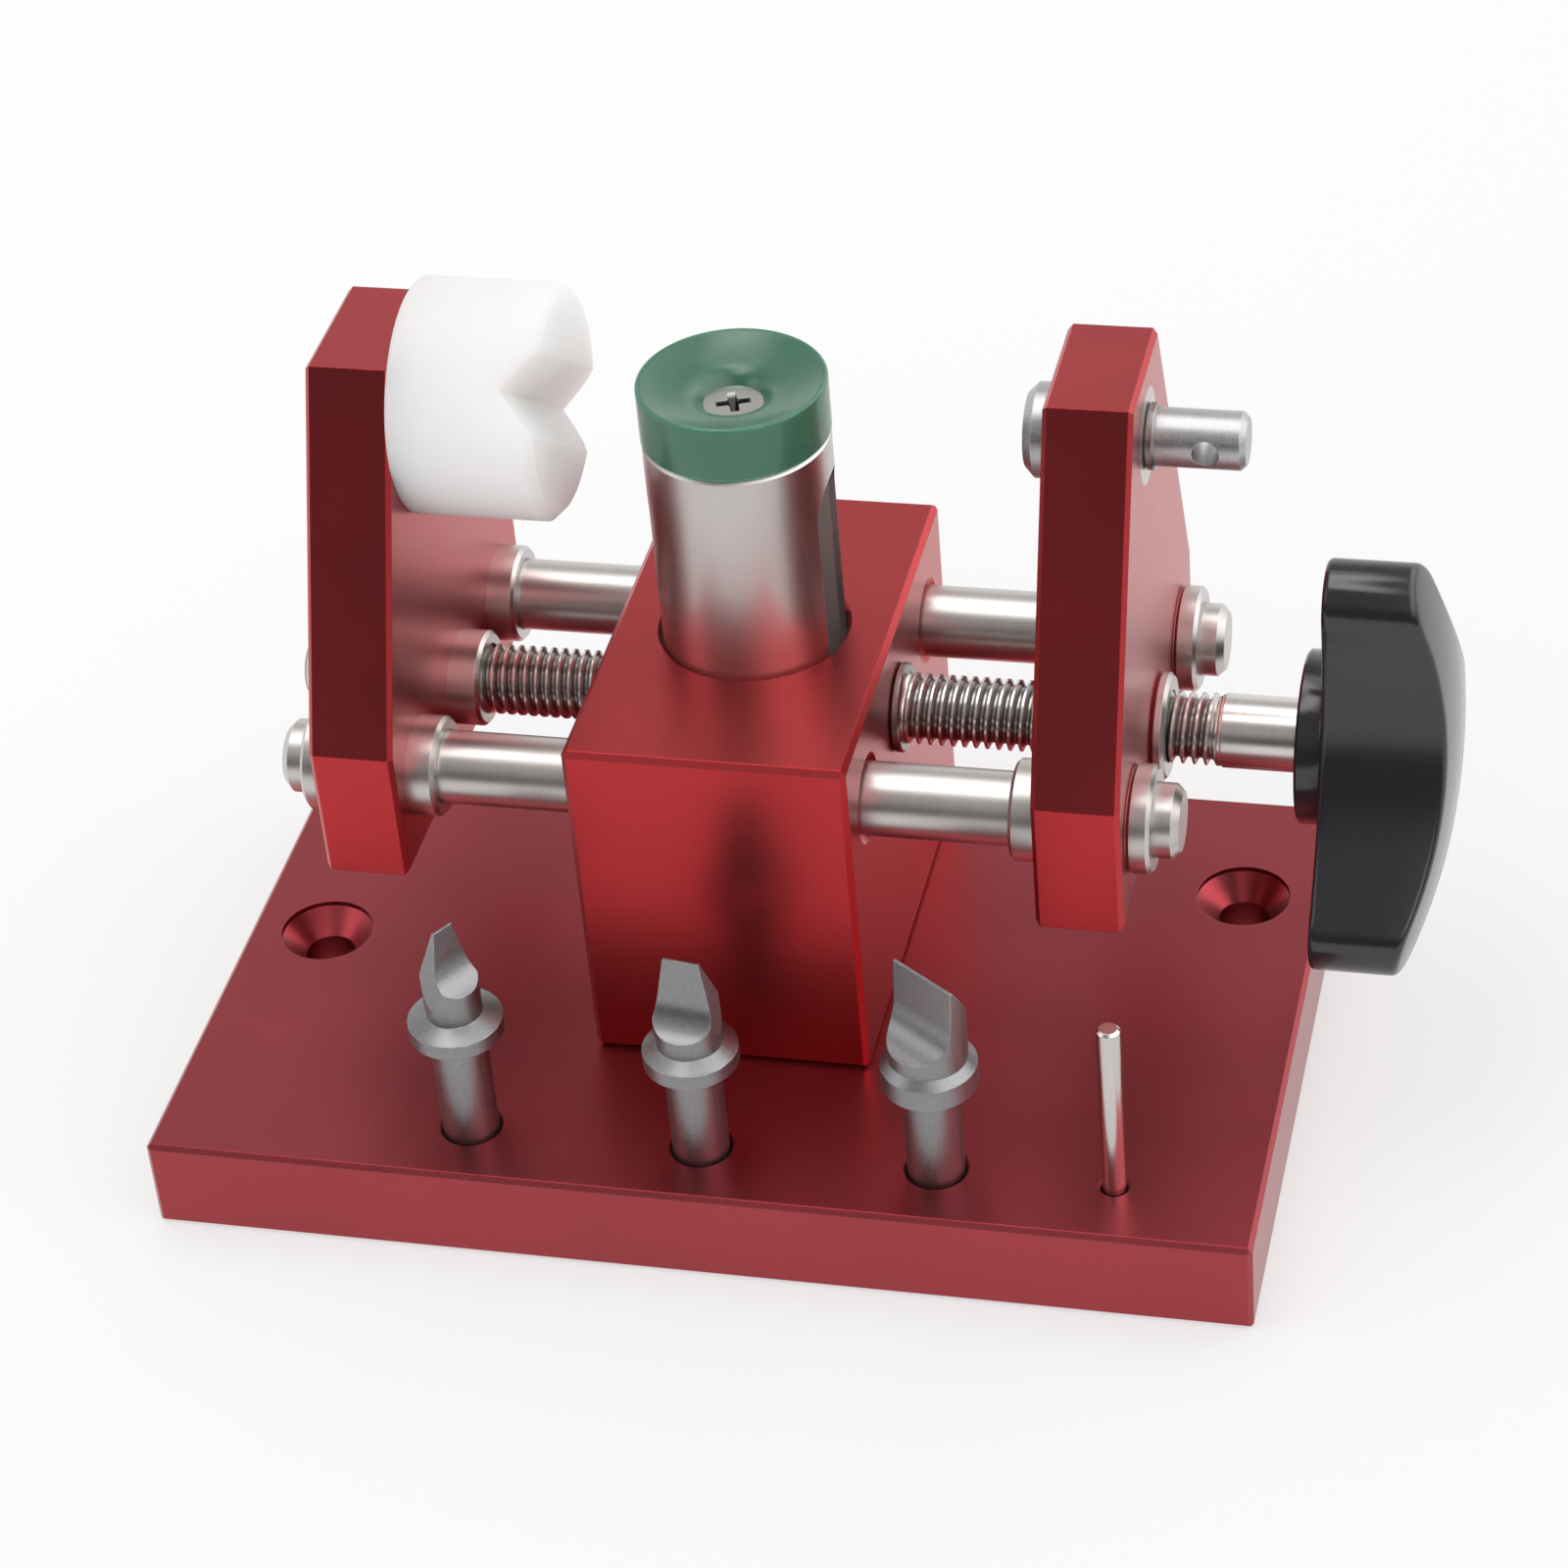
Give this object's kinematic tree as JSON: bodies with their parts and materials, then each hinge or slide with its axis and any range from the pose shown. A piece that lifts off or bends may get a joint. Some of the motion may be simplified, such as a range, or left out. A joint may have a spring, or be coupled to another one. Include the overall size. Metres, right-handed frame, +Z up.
{
  "type": "watch case opener",
  "caption": "Bench watch case opener: a lobed knob drives a two-handed screw that closes a nylon V cushion and a steel tool on a watch held on a sprung, padded post.",
  "frame": {"origin": "middle of the base plate's underside", "axes": "+X along the screw towards the knob, +Y to the back, away from the row of tools, +Z up"},
  "size_m": [0.136, 0.075, 0.0906],
  "materials": {
    "red_anodised": "red anodised, fine satin",
    "turned_steel": "turned, bright satin",
    "ground_steel": "ground and hardened",
    "spring_steel": "drawn wire, oiled",
    "plated_steel": "bright zinc plated",
    "green_pad": "slightly translucent moulded polyurethane",
    "white_nylon": "turned nylon",
    "black_plastic": "moulded, semi-gloss",
    "insert_brass": "turned"
  },
  "bodies": {
    "frame": {"base_plate": "red_anodised", "centre_block": "red_anodised", "block_screws": "plated_steel", "rod_front": "turned_steel", "rod_rear": "turned_steel", "post_spring": "spring_steel"},
    "screw": {"lead_screw": "turned_steel", "screw_rings": "spring_steel", "knob": "black_plastic", "knob_insert": "insert_brass"},
    "left_slider": {"left_jaw": "red_anodised", "left_front_bush": "turned_steel", "left_rear_bush": "turned_steel", "left_nut": "turned_steel", "v_cushion": "white_nylon", "cushion_screw": "plated_steel"},
    "right_slider": {"right_jaw": "red_anodised", "right_front_bush": "turned_steel", "right_rear_bush": "turned_steel", "right_nut": "turned_steel", "spindle_bush": "turned_steel"},
    "spindle": {"pressure_spindle": "ground_steel", "spindle_ring": "spring_steel"},
    "watch_post": {"post": "turned_steel", "pad": "green_pad", "pad_screw": "plated_steel"},
    "narrow": {"blade_narrow": "ground_steel"},
    "medium": {"blade_medium": "ground_steel"},
    "wide": {"blade_wide": "ground_steel"},
    "pin": {"tommy_pin": "turned_steel"}
  },
  "joints": [
    {"name": "knob_spin", "type": "hinge", "parent": "frame", "child": "screw", "pos_m": [0, 0.0105, 0.0412], "axis": [1, 0, 0], "range_deg": [-2335, 1370]},
    {"name": "right_jaw_slide", "type": "slide", "parent": "frame", "child": "right_slider", "axis": [1, 0, 0], "range_m": [-0.0081, 0.00475]},
    {"name": "left_jaw_slide", "type": "slide", "parent": "frame", "child": "left_slider", "axis": [1, 0, 0], "range_m": [-0.0048, 0.0082]},
    {"name": "post_press", "type": "slide", "parent": "frame", "child": "watch_post", "axis": [0, 0, 1], "range_m": [-0.014, 0], "stiffness_N_per_m": 1000, "springref_m": 0.005, "deforming": ["post_spring"]},
    {"name": "spindle_turn", "type": "hinge", "parent": "right_slider", "child": "spindle", "pos_m": [0.0389, 0.0105, 0.07805], "axis": [1, 0, 0], "continuous": true},
    {"name": "narrow_lift", "type": "slide", "parent": "frame", "child": "narrow", "axis": [0, 0, 1], "range_m": [0, 0.02]},
    {"name": "medium_lift", "type": "slide", "parent": "frame", "child": "medium", "axis": [0, 0, 1], "range_m": [0, 0.02]},
    {"name": "wide_lift", "type": "slide", "parent": "frame", "child": "wide", "axis": [0, 0, 1], "range_m": [0, 0.02]},
    {"name": "pin_lift", "type": "slide", "parent": "frame", "child": "pin", "axis": [0, 0, 1], "range_m": [0, 0.02]}
  ],
  "couplings": [
    {"joint": "knob_spin", "follows": "right_jaw_slide", "rad_per_m": 5026.5},
    {"joint": "left_jaw_slide", "follows": "right_jaw_slide", "ratio": -1}
  ]
}
